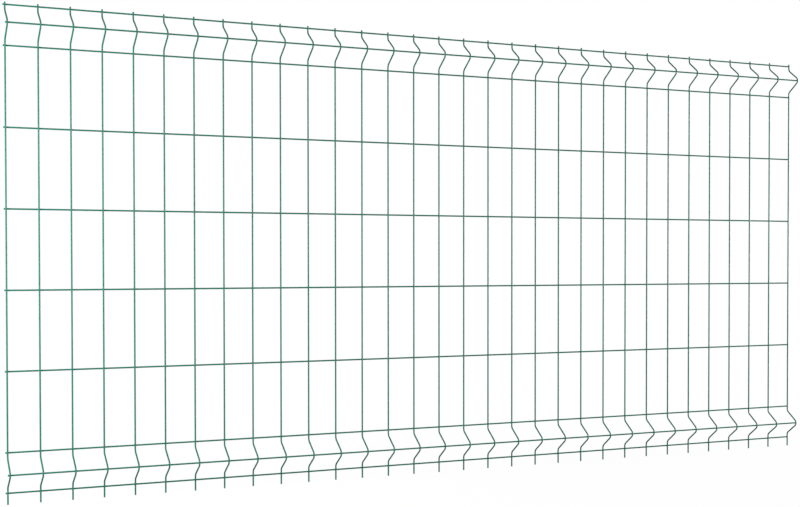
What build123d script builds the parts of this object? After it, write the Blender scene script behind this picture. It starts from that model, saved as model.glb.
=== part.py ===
from build123d import *
from math import atan2, cos, pi, sin, tan
import os

# Welded mesh fence panel: upright wires with two V folds each, welded to the front of level wires.
# Millimetres, +Z up. X runs along the panel from the middle of the first upright.
# Y = 0 is the rear plane of the level wires, where they bear on the posts. The folds point to -Y.
# Z = 0 is the middle of the lowest level wire.

# Wires: the diameter over the coating, drawn as a bar whose eight flat sides touch the round wire.
# Where two wires cross, a flat of each meets the other's face to face, as their weld joins them.
upright_wire = 4.2
level_wire = 4.2
wire_sides = 8

# Mesh
upright_count = 32
upright_pitch = 78.0
field_count = 5              # plain fields between the two folds
field_height = 200.0
side_stub = 5.0              # level wire past the middle of the end uprights
top_stub = 6.0               # upright past the middle of the top level wire
foot_spike = 27.5            # upright past the middle of the lowest level wire

# V fold, measured on the middle line of the upright wire
fold_height = 100.0          # between the level wires below and above a fold
fold_rise = 71.2             # between the two feet of the V, as sharp corners
fold_depth = 51.0            # from the panel's plane to the sharp crest
foot_radius = 12.0
crest_radius = 11.3
foot_corners = 2             # corners of the short straight lengths that follow a bend
crest_corners = 4


def bend(middle, radius, start, turn, corners):
    """Corners of the straight lengths that touch an arc round its middle."""
    reach = radius / cos(turn / corners / 2)
    angles = [start + turn * (k + 0.5) / corners for k in range(corners)]
    return [(middle[0] + reach * cos(a), middle[1] + reach * sin(a)) for a in angles]


def fold(crest_z):
    """Corners of one V fold, from its lower foot to its upper foot, as (y, z)."""
    foot_middle = (-foot_radius, -fold_rise / 2 - foot_radius * tan(slope / 2))
    crest_middle = (crest_radius / cos(slope) - fold_depth, 0)
    lower = bend(foot_middle, foot_radius, 0, slope, foot_corners)
    crest = bend(crest_middle, crest_radius, pi + slope, -2 * slope, crest_corners)
    upper = [(y, -z) for y, z in reversed(lower)]
    return [(upright_y + y, crest_z + z) for y, z in lower + crest + upper]


# Worked out from the sizes above
slope = atan2(fold_depth, fold_rise / 2)          # between a side of the V and the upright
crest_reach = fold_depth - crest_radius * (1 / cos(slope) - 1)
level_y = -level_wire / 2
upright_y = -level_wire - upright_wire / 2

low_crest_z = fold_height / 2
high_crest_z = fold_height + field_count * field_height + fold_height / 2
top_z = fold_height + field_count * field_height + fold_height
plain_heights = [0, top_z] + [fold_height + k * field_height for k in range(field_count + 1)]
level_places = [(level_y, z) for z in plain_heights]
level_places += [(level_y - crest_reach, z) for z in (low_crest_z, high_crest_z)]
level_length = (upright_count - 1) * upright_pitch + 2 * side_stub

# One upright wire, swept along its folded middle line
with BuildPart() as upright:
    with BuildLine(Plane.YZ) as middle_line:
        Polyline(
            (upright_y, -foot_spike),
            *fold(low_crest_z),
            *fold(high_crest_z),
            (upright_y, top_z + top_stub),
        )
    with BuildSketch(Plane.XY.offset(-foot_spike)) as upright_section:
        with Locations((0, upright_y)):
            RegularPolygon(upright_wire / 2, wire_sides, major_radius=False, rotation=90 - 180 / wire_sides)
    sweep(transition=Transition.RIGHT)

# The panel: every level wire, and the uprights welded across their front
with BuildPart() as mesh_panel:
    with BuildSketch(Plane.YZ.offset(-side_stub)) as level_sections:
        with Locations(*level_places):
            RegularPolygon(level_wire / 2, wire_sides, major_radius=False, rotation=180 / wire_sides)
    extrude(amount=level_length)
    with Locations(*[(k * upright_pitch, 0, 0) for k in range(upright_count)]):
        add(upright.part)

mesh_panel.part.label = "mesh_panel"

os.makedirs("parts", exist_ok=True)
export_step(mesh_panel.part, "parts/mesh_panel.step")
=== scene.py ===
import math
import random

import bpy
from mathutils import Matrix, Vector


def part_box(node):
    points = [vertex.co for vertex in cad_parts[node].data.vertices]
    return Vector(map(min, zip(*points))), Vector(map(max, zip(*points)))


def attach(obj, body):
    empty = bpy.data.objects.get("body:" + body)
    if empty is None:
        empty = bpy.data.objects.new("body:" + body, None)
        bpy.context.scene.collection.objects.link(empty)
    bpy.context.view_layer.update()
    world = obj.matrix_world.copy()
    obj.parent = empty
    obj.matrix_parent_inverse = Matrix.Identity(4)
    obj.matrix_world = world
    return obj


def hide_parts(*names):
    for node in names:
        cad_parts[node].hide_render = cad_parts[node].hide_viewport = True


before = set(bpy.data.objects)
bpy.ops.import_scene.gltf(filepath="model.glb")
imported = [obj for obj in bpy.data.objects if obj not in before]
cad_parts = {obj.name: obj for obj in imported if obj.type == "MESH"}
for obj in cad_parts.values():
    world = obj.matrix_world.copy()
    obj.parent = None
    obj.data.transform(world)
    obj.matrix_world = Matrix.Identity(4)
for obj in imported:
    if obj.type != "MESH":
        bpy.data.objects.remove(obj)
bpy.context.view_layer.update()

# A welded mesh fence panel, in metres, in the frame of the CAD part: X along the panel, the folds
# towards -Y, Z up. The wires are round here, with their cut ends, their welds and their coating.

PANEL = "mesh_panel"
LOW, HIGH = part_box(PANEL)
MM = 0.001

# Mesh
UPRIGHT_COUNT = 32
SIDE_STUB = 5.0 * MM             # level wire past the middle of the end uprights
TOP_STUB = 6.0 * MM              # upright past the middle of the top level wire
FIELD_COUNT = 5                  # plain fields between the two folds
FOLD_HEIGHT = 100.0 * MM         # between the level wires below and above a fold
PITCH = (HIGH.x - LOW.x - 2 * SIDE_STUB) / (UPRIGHT_COUNT - 1)
TOP_Z = HIGH.z - TOP_STUB
FIELD_HEIGHT = (TOP_Z - 2 * FOLD_HEIGHT) / FIELD_COUNT

# V fold, on the middle line of the upright wire
FOLD_RISE = 71.2 * MM            # between the two feet of the V, as sharp corners
FOLD_DEPTH = 51.0 * MM           # from the panel's plane to the sharp crest
FOOT_RADIUS = 12.0 * MM
CREST_RADIUS = 11.3 * MM
FOLD_SLOPE = math.atan2(FOLD_DEPTH, FOLD_RISE / 2)
CREST_REACH = FOLD_DEPTH - CREST_RADIUS * (1 / math.cos(FOLD_SLOPE) - 1)

# Wires. The two layers of wire touch, so the panel's depth gives the distance of their middles.
WIRE_GAP = (HIGH.y - LOW.y - CREST_REACH) / 2
WIRE_RADIUS = WIRE_GAP / 2
LEVEL_Y = HIGH.y - WIRE_RADIUS
UPRIGHT_Y = LEVEL_Y - WIRE_GAP
COAT_BUILD = 0.04 * MM           # the coating is thicker at a weld than along the wire
COAT_SPREAD = 3 * MM             # how far from the weld it thins out
PLAIN_RADIUS = WIRE_RADIUS - COAT_BUILD

# Cut ends and welds
RIM_RADIUS = 0.35 * MM           # of the coated edge round a cut end
CUT_SLANT = (1, 5)               # degrees off square
FILLET_MM = (0.60, 0.90)
BEAD_UNEVEN = 0.05 * MM
BEAD_TUCK = 0.15 * MM            # the edge of a weld runs this far into its wire
FAR = 1.0                        # a distance that no mark of a cut end reaches

# How finely the meshes are drawn
SIDES = 20
FOOT_STEPS = 10
CREST_STEPS = 20
RIM_STEPS = 3
BEAD_STATIONS = 32
BEAD_STEPS = 5
END_STEP = 4 * MM                # from the tip of a spike to the next ring
END_CLEAR = 1 * MM               # no ring of the plain wire is nearer to a cut end
WELD_STEPS = (-6 * MM, -3 * MM, -1.5 * MM, 0.0, 1.5 * MM, 3 * MM, 6 * MM)

# Where the wires are. LEVELS gives each level wire's height and depth, from the lowest up.
UPRIGHT_X = [k * PITCH for k in range(UPRIGHT_COUNT)]
CREST_HEIGHTS = (FOLD_HEIGHT / 2, TOP_Z - FOLD_HEIGHT / 2)
PLAIN_HEIGHTS = [0.0] + [FOLD_HEIGHT + k * FIELD_HEIGHT for k in range(FIELD_COUNT + 1)] + [TOP_Z]
LEVELS = sorted(
    [(z, LEVEL_Y) for z in PLAIN_HEIGHTS] + [(z, LEVEL_Y - CREST_REACH) for z in CREST_HEIGHTS]
)

# Coating, as linear colours
COAT_GREEN = (0.007, 0.140, 0.098, 1.0)
THIN_GREEN = (0.06, 0.20, 0.16, 1.0)       # where it is thin, on the rims of the cut ends
WELD_GREEN = (0.035, 0.16, 0.122, 1.0)     # a lighter green near each weld
COAT_IOR = 1.5
COAT_GLOSS = 0.12                          # specular level
PEEL_STRENGTH = 0.5
PEEL_DEPTH = 0.04 * MM
WELD_MARK_REACH = 6 * MM
WELD_MARK = 0.7
RIM_WEAR_REACH = 2 * MM

# Floor, as the camera sees it, and as it bounces light
FLOOR_SIZE = 30.0
FLOOR_GLOW = 0.945
FLOOR_LIT = 0.06
FLOOR_TONE = 0.2
LIT_FROM, LIT_TO = 0.9, 2.0      # the lit part fades out between these distances from the middle
LIT_SQUEEZE = 0.55               # it is an oval, longer along the panel

# Lamps: place, size in metres, power in watts
LAMP_AIM = (0.9, 0.0, 0.6)
LAMPS = {
    "front_lamp": ((2.8, -6.4, 1.2), 2.4, 240.0),
    "left_lamp": ((-1.15, -0.7, 0.8), 0.7, 50.0),
    "right_lamp": ((9.0, -0.5, 0.8), 3.0, 1100.0),
    "back_lamp": ((1.8, 6.5, 2.0), 2.4, 420.0),
}
ROOM_LIGHT = 0.05


# Shapes

class Skin:
    """The points and faces of one piece, and each point's distance from the nearest cut end and
    the nearest weld, which the coating reads."""

    def __init__(self):
        self.points = []
        self.faces = []
        self.end_gap = []
        self.weld_gap = []

    def ring(self, places, end_gap, weld_gap):
        """Adds a closed ring of points and returns their numbers."""
        first = len(self.points)
        self.points += places
        self.end_gap += [end_gap] * len(places)
        self.weld_gap += [weld_gap] * len(places)
        return list(range(first, first + len(places)))

    def band(self, one, two):
        """Adds the faces between two rings."""
        count = len(one)
        for k in range(count):
            n = (k + 1) % count
            self.faces.append((one[k], one[n], two[n], two[k]))

    def build(self, name, material):
        """Makes the Blender object."""
        mesh = bpy.data.meshes.new(name)
        mesh.from_pydata(self.points, [], self.faces)
        for label, values in (("end_gap", self.end_gap), ("weld_gap", self.weld_gap)):
            layer = mesh.attributes.new(label, "FLOAT", "POINT")
            layer.data.foreach_set("value", values)
        mesh.shade_smooth()
        mesh.materials.append(material)
        mesh.update()
        piece = bpy.data.objects.new(name, mesh)
        bpy.context.scene.collection.objects.link(piece)
        return piece


def arc(middle, radius, start, turn, steps):
    """Points of an arc, both ends among them."""
    angles = [start + turn * k / steps for k in range(steps + 1)]
    return [(middle[0] + radius * math.cos(a), middle[1] + radius * math.sin(a)) for a in angles]


def fold_line(crest_z):
    """Middle line of one V fold as (y, z), from its lower foot to its upper foot."""
    foot_middle = (-FOOT_RADIUS, -FOLD_RISE / 2 - FOOT_RADIUS * math.tan(FOLD_SLOPE / 2))
    crest_middle = (CREST_RADIUS / math.cos(FOLD_SLOPE) - FOLD_DEPTH, 0.0)
    lower = arc(foot_middle, FOOT_RADIUS, 0.0, FOLD_SLOPE, FOOT_STEPS)
    crest = arc(crest_middle, CREST_RADIUS, math.pi + FOLD_SLOPE, -2 * FOLD_SLOPE, CREST_STEPS)
    upper = [(y, -z) for y, z in reversed(lower)]
    return [(UPRIGHT_Y + y, crest_z + z) for y, z in lower + crest + upper]


def straight_places(start, stop, welds):
    """Places along a straight wire from end to end, close together at its welds."""
    places = [weld + step for weld in welds for step in WELD_STEPS]
    inner = [place for place in places if start + END_CLEAR < place < stop - END_CLEAR]
    return sorted([start, stop] + inner)


def upright_line():
    """Middle line of an upright as (y, z), from its spike to its top."""
    folds = [place for crest_z in CREST_HEIGHTS for place in fold_line(crest_z)]
    heights = [LOW.z + END_STEP] + straight_places(LOW.z, HIGH.z, PLAIN_HEIGHTS)
    return sorted(folds + [(UPRIGHT_Y, z) for z in heights], key=lambda place: place[1])


def coat_radius(weld_gap):
    """Radius of the coated wire, a little more at a weld."""
    return PLAIN_RADIUS + COAT_BUILD * math.exp(-(weld_gap / COAT_SPREAD) ** 2)


def tube(skin, line, side, weld_gaps, cuts):
    """A round wire along its middle line, with sheared ends whose rims the coating rounds off.
    side is square to the line all along. cuts gives each end's slant and the way it leans."""
    last = len(line) - 1
    travelled = [0.0]
    for a, b in zip(line, line[1:]):
        travelled.append(travelled[-1] + (b - a).length)

    def circle(k, radius, back=0.0, inward=None, slant=0.0, lean=0.0):
        """Points round the wire at its k-th place. Near a cut end, back moves them inward, and the
        slant moves those on its far side further."""
        along = (line[min(k + 1, last)] - line[max(k - 1, 0)]).normalized()
        across = along.cross(side)
        here = line[k] if inward is None else line[k] + inward * back
        places = []
        for n in range(SIDES):
            a = 2 * math.pi * n / SIDES
            offset = side * (radius * math.cos(a)) + across * (radius * math.sin(a))
            if inward is not None:
                shift = math.tan(slant) * (radius + radius * math.cos(a - lean))
                offset = offset + inward * shift
            places.append(here + offset)
        return places

    def cut_end(k, inward, slant, lean):
        """Circles from the edge of the cut face, over its rounded rim, to the full wire."""
        radius = coat_radius(weld_gaps[k])
        circles = []
        for step in range(RIM_STEPS + 1):
            a = math.pi / 2 * (1 - step / RIM_STEPS)
            ring_radius = radius - RIM_RADIUS + RIM_RADIUS * math.cos(a)
            back = RIM_RADIUS - RIM_RADIUS * math.sin(a)
            circles.append(circle(k, ring_radius, back, inward, slant, lean))
        return circles

    start = cut_end(0, (line[1] - line[0]).normalized(), *cuts[0])
    finish = cut_end(last, (line[-2] - line[-1]).normalized(), *cuts[1])
    rings = [skin.ring(places, 0.0, weld_gaps[0]) for places in start]
    for k in range(1, last):
        end_gap = min(travelled[k], travelled[-1] - travelled[k])
        rings.append(skin.ring(circle(k, coat_radius(weld_gaps[k])), end_gap, weld_gaps[k]))
    rings += [skin.ring(places, 0.0, weld_gaps[last]) for places in reversed(finish)]
    for one, two in zip(rings, rings[1:]):
        skin.band(one, two)
    skin.faces.append(tuple(reversed(rings[0])))
    skin.faces.append(tuple(rings[-1]))


def weld_bead(skin, x, y, z, fillet, chance):
    """The coated weld where an upright crosses a level wire: the surface that a ball leaves when it
    rolls round the crossing, touching both wires. y is the plane between the two wires."""
    reach = PLAIN_RADIUS + fillet
    half = WIRE_GAP / 2
    swing = reach - half
    rows = [[] for row in range(BEAD_STEPS + 3)]      # across the fillet, and one under each wire
    for s in range(BEAD_STATIONS):
        w = 2 * math.pi * s / BEAD_STATIONS
        ball_y = -swing * math.cos(2 * w)
        from_upright = math.sqrt(max(reach ** 2 - (ball_y + half) ** 2, 0))
        from_level = math.sqrt(max(reach ** 2 - (ball_y - half) ** 2, 0))
        ball_x = math.copysign(from_upright, math.cos(w))
        ball_z = math.copysign(from_level, math.sin(w))
        ball = Vector((ball_x, ball_y, ball_z))
        to_upright = (Vector((0, -half, ball_z)) - ball).normalized()
        to_level = (Vector((ball_x, half, 0)) - ball).normalized()
        turn = to_upright.angle(to_level)
        lift = BEAD_UNEVEN * (chance.random() - 0.5)
        places = []
        for k in range(BEAD_STEPS + 1):
            t = k / BEAD_STEPS
            share = to_upright * math.sin((1 - t) * turn) + to_level * math.sin(t * turn)
            swell = lift * math.sin(math.pi * t)
            places.append(ball + share / math.sin(turn) * (fillet + swell))
        under_upright = places[0] + to_upright * BEAD_TUCK
        under_level = places[-1] + to_level * BEAD_TUCK
        for row, place in zip(rows, [under_upright] + places + [under_level]):
            row.append(Vector((x, y, z)) + place)
    rings = [skin.ring(row, FAR, 0.0) for row in rows]
    for one, two in zip(rings, rings[1:] + rings[:1]):
        skin.band(one, two)


def random_cuts(chance):
    """The slant of each of a wire's two ends, and the way it leans."""
    return [
        (math.radians(chance.uniform(*CUT_SLANT)), chance.uniform(0, 2 * math.pi))
        for end in range(2)
    ]


def make_uprights(material, chance):
    """The folded uprights, from left to right."""
    pieces = []
    for k, x in enumerate(UPRIGHT_X):
        line = [Vector((x, y, z)) for y, z in upright_line()]
        weld_gaps = [min(abs(place.z - z) for z, y in LEVELS) for place in line]
        skin = Skin()
        tube(skin, line, Vector((1, 0, 0)), weld_gaps, random_cuts(chance))
        pieces.append(skin.build(f"upright_wire_{k + 1:02d}", material))
    return pieces


def make_levels(material, chance):
    """The level wires, from the lowest up."""
    pieces = []
    places = straight_places(LOW.x, HIGH.x, UPRIGHT_X)
    weld_gaps = [min(abs(x - upright) for upright in UPRIGHT_X) for x in places]
    for k, (z, y) in enumerate(LEVELS):
        line = [Vector((x, y, z)) for x in places]
        skin = Skin()
        tube(skin, line, Vector((0, 0, 1)), weld_gaps, random_cuts(chance))
        pieces.append(skin.build(f"level_wire_{k + 1:02d}", material))
    return pieces


def make_welds(material, chance):
    """One row of welds for each level wire."""
    pieces = []
    for k, (z, y) in enumerate(LEVELS):
        skin = Skin()
        for x in UPRIGHT_X:
            fillet = chance.uniform(*FILLET_MM) * MM
            weld_bead(skin, x, y - WIRE_GAP / 2, z, fillet, chance)
        pieces.append(skin.build(f"weld_row_{k + 1:02d}", material))
    return pieces


# Materials

def feed(tree, node, inputs):
    """Gives each of a node's inputs a plain value, or links it to the socket that feeds it."""
    for label, value in inputs.items():
        if isinstance(value, bpy.types.NodeSocket):
            tree.links.new(value, node.inputs[label])
        else:
            node.inputs[label].default_value = value


def add_node(tree, kind, inputs, **settings):
    """A shader node with some of its settings and inputs."""
    made = tree.nodes.new(kind)
    for label, value in settings.items():
        setattr(made, label, value)
    feed(tree, made, inputs)
    return made


def calculate(tree, operation, *values):
    """The result of one Math node."""
    return add_node(tree, "ShaderNodeMath", dict(enumerate(values)), operation=operation).outputs[0]


def noise(tree, place, scale, detail):
    """Noise from 0 to 1."""
    inputs = {"Vector": place, "Scale": scale, "Detail": detail}
    return add_node(tree, "ShaderNodeTexNoise", inputs).outputs["Fac"]


def use_group(tree, group, inputs):
    """What a node group gives for these inputs."""
    return add_node(tree, "ShaderNodeGroup", inputs, node_tree=group).outputs


def new_group(name, inputs, outputs):
    """A node group with named inputs and outputs: its tree, and what its inputs give."""
    tree = bpy.data.node_groups.new(name, "ShaderNodeTree")
    for label, kind, value in inputs:
        socket = tree.interface.new_socket(label, in_out="INPUT", socket_type=kind)
        socket.default_value = value
    for label, kind in outputs:
        tree.interface.new_socket(label, in_out="OUTPUT", socket_type=kind)
    return tree, add_node(tree, "NodeGroupInput", {}).outputs


def make_orange_peel():
    """The fine dimpled skin of a baked powder coating: its height, and how its gloss changes."""
    gloss_scale = 35.0
    tree, given = new_group(
        "orange_peel",
        [("Vector", "NodeSocketVector", (0, 0, 0)), ("Scale", "NodeSocketFloat", 900.0),
         ("Roughness", "NodeSocketFloat", 0.4), ("Spread", "NodeSocketFloat", 0.06)],
        [("Height", "NodeSocketFloat"), ("Roughness", "NodeSocketFloat")],
    )
    dimples = noise(tree, given["Vector"], given["Scale"], 2.0)
    change = calculate(tree, "SUBTRACT", noise(tree, given["Vector"], gloss_scale, 2.0), 0.5)
    roughness = calculate(tree, "MULTIPLY_ADD", change, given["Spread"], given["Roughness"])
    add_node(tree, "NodeGroupOutput", {"Height": dimples, "Roughness": roughness})
    return tree


def make_coat_tone():
    """The coating's colour, a little uneven along the wire."""
    cloud_scale = 9.0
    tree, given = new_group(
        "coat_tone",
        [("Vector", "NodeSocketVector", (0, 0, 0)), ("Color", "NodeSocketColor", COAT_GREEN),
         ("Uneven", "NodeSocketFloat", 0.1)],
        [("Color", "NodeSocketColor")],
    )
    change = calculate(tree, "SUBTRACT", noise(tree, given["Vector"], cloud_scale, 3.0), 0.5)
    value = calculate(tree, "MULTIPLY_ADD", change, given["Uneven"], 1.0)
    tint = add_node(tree, "ShaderNodeHueSaturation", {"Color": given["Color"], "Value": value})
    add_node(tree, "NodeGroupOutput", {"Color": tint.outputs["Color"]})
    return tree


def make_mark_near():
    """A broken-up mask that is strong where a named distance on the mesh is small."""
    scuff_scale = 700.0
    faint, full = 0.35, 0.6
    tree, given = new_group(
        "mark_near",
        [("Vector", "NodeSocketVector", (0, 0, 0)), ("Distance", "NodeSocketFloat", 0.0),
         ("Reach", "NodeSocketFloat", 0.002), ("Amount", "NodeSocketFloat", 0.5)],
        [("Mask", "NodeSocketFloat")],
    )
    share = calculate(tree, "DIVIDE", given["Distance"], given["Reach"])
    near = calculate(tree, "SUBTRACT", noise(tree, given["Vector"], scuff_scale, 3.0), share)
    limits = {"Value": near, "From Min": faint, "From Max": full}
    sharp = add_node(tree, "ShaderNodeMapRange", limits, clamp=True)
    mask = calculate(tree, "MULTIPLY", sharp.outputs["Result"], given["Amount"])
    add_node(tree, "NodeGroupOutput", {"Mask": mask})
    return tree


def make_coating(name, groups, peel_scale, roughness, uneven, wear):
    """The green coating of one kind of piece."""
    material = bpy.data.materials.new(name)
    material.use_nodes = True
    tree = material.node_tree
    place = add_node(tree, "ShaderNodeTexCoord", {}).outputs["Object"]

    tone = {"Vector": place, "Color": COAT_GREEN, "Uneven": uneven}
    colour = use_group(tree, groups["coat_tone"], tone)["Color"]
    marks = (
        ("weld_gap", WELD_MARK_REACH, WELD_MARK, WELD_GREEN),
        ("end_gap", RIM_WEAR_REACH, wear, THIN_GREEN),
    )
    for label, reach, amount, mark_colour in marks:
        gap = add_node(tree, "ShaderNodeAttribute", {}, attribute_name=label).outputs["Fac"]
        mark = {"Vector": place, "Distance": gap, "Reach": reach, "Amount": amount}
        mask = use_group(tree, groups["mark_near"], mark)["Mask"]
        mixed = {"Factor": mask, "A": colour, "B": mark_colour}
        colour = add_node(tree, "ShaderNodeMix", mixed, data_type="RGBA").outputs["Result"]

    texture = {"Vector": place, "Scale": peel_scale, "Roughness": roughness}
    peel = use_group(tree, groups["orange_peel"], texture)
    relief = {"Height": peel["Height"], "Strength": PEEL_STRENGTH, "Distance": PEEL_DEPTH}
    bump = add_node(tree, "ShaderNodeBump", relief)
    feed(tree, tree.nodes["Principled BSDF"], {
        "Base Color": colour,
        "Roughness": peel["Roughness"],
        "Normal": bump.outputs["Normal"],
        "IOR": COAT_IOR,
        "Specular IOR Level": COAT_GLOSS,
    })
    return material


def seen_directly(tree):
    """1 for rays from the camera and for those mirrored or let through, and 0 for others."""
    path = add_node(tree, "ShaderNodeLightPath", {}).outputs
    plain_or_mirrored = calculate(tree, "MAXIMUM", path["Is Camera Ray"], path["Is Glossy Ray"])
    return calculate(tree, "MAXIMUM", plain_or_mirrored, path["Is Transmission Ray"])


def make_floor_material():
    """Pale floor. The camera sees it as white: round the panel's foot it is partly lit, which keeps
    a faint shadow there, and glows for the rest. To all other light it is plain grey."""
    material = bpy.data.materials.new("pale_floor")
    material.use_nodes = True
    tree = material.node_tree
    tree.nodes.clear()

    def matt(tone):
        inputs = {"Color": (tone, tone, tone, 1)}
        return add_node(tree, "ShaderNodeBsdfDiffuse", inputs).outputs[0]

    def glow(strength):
        return add_node(tree, "ShaderNodeEmission", {"Strength": strength}).outputs[0]

    def mix(share, one, two):
        return add_node(tree, "ShaderNodeMixShader", {"Fac": share, 1: one, 2: two}).outputs[0]

    def vector(operation, *values):
        inputs = dict(enumerate(values))
        return add_node(tree, "ShaderNodeVectorMath", inputs, operation=operation).outputs

    place = add_node(tree, "ShaderNodeTexCoord", {}).outputs["Object"]
    from_middle = vector("SUBTRACT", place, ((LOW.x + HIGH.x) / 2, 0, LOW.z))[0]
    squeezed = vector("MULTIPLY", from_middle, (LIT_SQUEEZE, 1, 1))[0]
    distance = vector("LENGTH", squeezed)["Value"]
    limits = {"Value": distance, "From Min": LIT_FROM, "From Max": LIT_TO}
    far = add_node(tree, "ShaderNodeMapRange", limits, interpolation_type="SMOOTHSTEP")

    lit = add_node(tree, "ShaderNodeAddShader", {0: matt(FLOOR_LIT), 1: glow(FLOOR_GLOW)})
    seen = mix(far.outputs["Result"], lit.outputs[0], glow(1.0))
    shown = mix(seen_directly(tree), matt(FLOOR_TONE), seen)
    add_node(tree, "ShaderNodeOutputMaterial", {"Surface": shown})
    return material


# Stage

def make_floor(material):
    """A flat square under the tips of the spikes."""
    mesh = bpy.data.meshes.new("floor")
    corners = [(-1, -1), (1, -1), (1, 1), (-1, 1)]
    places = [(x * FLOOR_SIZE, y * FLOOR_SIZE, LOW.z) for x, y in corners]
    mesh.from_pydata(places, [], [(0, 1, 2, 3)])
    mesh.materials.append(material)
    floor = bpy.data.objects.new("floor", mesh)
    bpy.context.scene.collection.objects.link(floor)


def make_room():
    """The room's even light, which the camera and the gloss see as plain white."""
    world = bpy.data.worlds.new("room")
    world.use_nodes = True
    bpy.context.scene.world = world
    tree = world.node_tree
    levels = {"Value": seen_directly(tree), "To Min": ROOM_LIGHT, "To Max": 1.0}
    level = add_node(tree, "ShaderNodeMapRange", levels).outputs["Result"]
    feed(tree, tree.nodes["Background"], {"Color": (1, 1, 1, 1), "Strength": level})


def soft_lamp(name, place, size, power):
    """A large square lamp that shines at the panel."""
    lamp = bpy.data.lights.new(name, "AREA")
    lamp.size = size
    lamp.energy = power
    made = bpy.data.objects.new(name, lamp)
    made.visible_camera = False
    made.location = place
    towards = Vector(LAMP_AIM) - Vector(place)
    made.rotation_euler = towards.to_track_quat("-Z", "Y").to_euler()
    bpy.context.scene.collection.objects.link(made)
    return made


def make_camera():
    """The camera that a fit to the photograph's wires gives. It looks along the panel from the
    left. Its shift puts the middle of the view at middle_pixel."""
    image_width = 800
    image_height = 507
    focal_pixels = 1350.9
    middle_pixel = (467.4, 286.4)
    place = (-0.4482, -3.4778, 0.5742)
    tilt_down = 1.112
    turn_right = 26.197
    camera = bpy.data.cameras.new("camera")
    camera.sensor_width = 36.0
    camera.lens = focal_pixels / image_width * camera.sensor_width
    camera.shift_x = (image_width / 2 - middle_pixel[0]) / image_width
    camera.shift_y = (middle_pixel[1] - image_height / 2) / image_width
    camera.clip_end = 100.0
    made = bpy.data.objects.new("camera", camera)
    made.location = place
    made.rotation_euler = (math.radians(90 - tilt_down), 0.0, math.radians(-turn_right))
    bpy.context.scene.collection.objects.link(made)
    bpy.context.scene.camera = made


groups = {
    "orange_peel": make_orange_peel(),
    "coat_tone": make_coat_tone(),
    "mark_near": make_mark_near(),
}
upright_coat = make_coating(
    "upright_coating", groups, peel_scale=900.0, roughness=0.38, uneven=0.10, wear=0.6)
level_coat = make_coating(
    "level_coating", groups, peel_scale=850.0, roughness=0.38, uneven=0.10, wear=0.6)
weld_coat = make_coating(
    "weld_coating", groups, peel_scale=1300.0, roughness=0.34, uneven=0.16, wear=0.0)

chance = random.Random(7)
pieces = make_uprights(upright_coat, chance)
pieces += make_levels(level_coat, chance)
pieces += make_welds(weld_coat, chance)
for piece in pieces:
    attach(piece, "root")
    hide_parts(PANEL)

make_floor(make_floor_material())
make_room()
lamps = {name: soft_lamp(name, *values) for name, values in LAMPS.items()}
lamps["back_lamp"].visible_glossy = False      # else the wires get a bright rim from the front
make_camera()
bpy.context.scene.view_settings.view_transform = "Standard"
